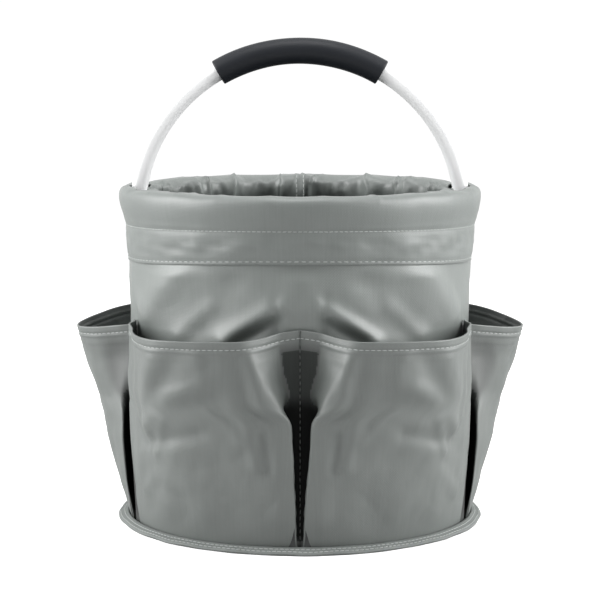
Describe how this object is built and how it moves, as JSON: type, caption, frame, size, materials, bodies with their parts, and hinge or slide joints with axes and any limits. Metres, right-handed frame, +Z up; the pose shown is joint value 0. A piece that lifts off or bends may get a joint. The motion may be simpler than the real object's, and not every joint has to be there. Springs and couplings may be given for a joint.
{
  "type": "tool bucket organizer",
  "caption": "Round fabric tool bucket with bellows pockets round the outside, a hooped rim band and a swinging tube handle with a foam grip",
  "frame": {"origin": "centre of the bucket's round underside, on the floor", "axes": "+Z up, the bucket's front seam faces -Y, the handle's pivots lie along X"},
  "size_m": [0.3084, 0.2989, 0.331],
  "materials": {
    "wall_cloth": "grey-green woven oxford cloth, coated inside",
    "pocket_cloth": "the same woven cloth, softer in the hand",
    "lining_cloth": "dark coated cloth",
    "board": "plain stiffening sheet",
    "hoop_metal": "mill finish flat bar",
    "rivet_metal": "satin",
    "washer_plastic": "natural nylon",
    "tube_metal": "satin light silver-grey",
    "grip_foam": "smooth closed-cell foam, near black",
    "plug_plastic": "dark nylon"
  },
  "bodies": {
    "bag": {"body_wall": "wall_cloth", "rim_band": "wall_cloth", "back_seam_binding": "wall_cloth", "base_panel": "wall_cloth", "base_board": "board", "base_lining": "lining_cloth", "base_binding": "wall_cloth", "pocket_front_left": "pocket_cloth", "pocket_front_right": "pocket_cloth", "pocket_side_left": "pocket_cloth", "pocket_side_right": "pocket_cloth", "pocket_back": "pocket_cloth", "rim_hoop": "hoop_metal", "hoop_joiner": "hoop_metal", "hoop_joiner_rivets": "rivet_metal", "pivot_rivet_left": "rivet_metal", "pivot_rivet_right": "rivet_metal", "pivot_washer_left": "washer_plastic", "pivot_washer_right": "washer_plastic"},
    "handle": {"handle_tube": "tube_metal", "handle_grip": "grip_foam", "tube_plug_left": "plug_plastic", "tube_plug_right": "plug_plastic"}
  },
  "joints": [
    {"name": "handle_swing", "type": "hinge", "parent": "bag", "child": "handle", "pos_m": [0, 0, 0.22], "axis": [1, 0, 0], "range_deg": [-70, 70]}
  ]
}
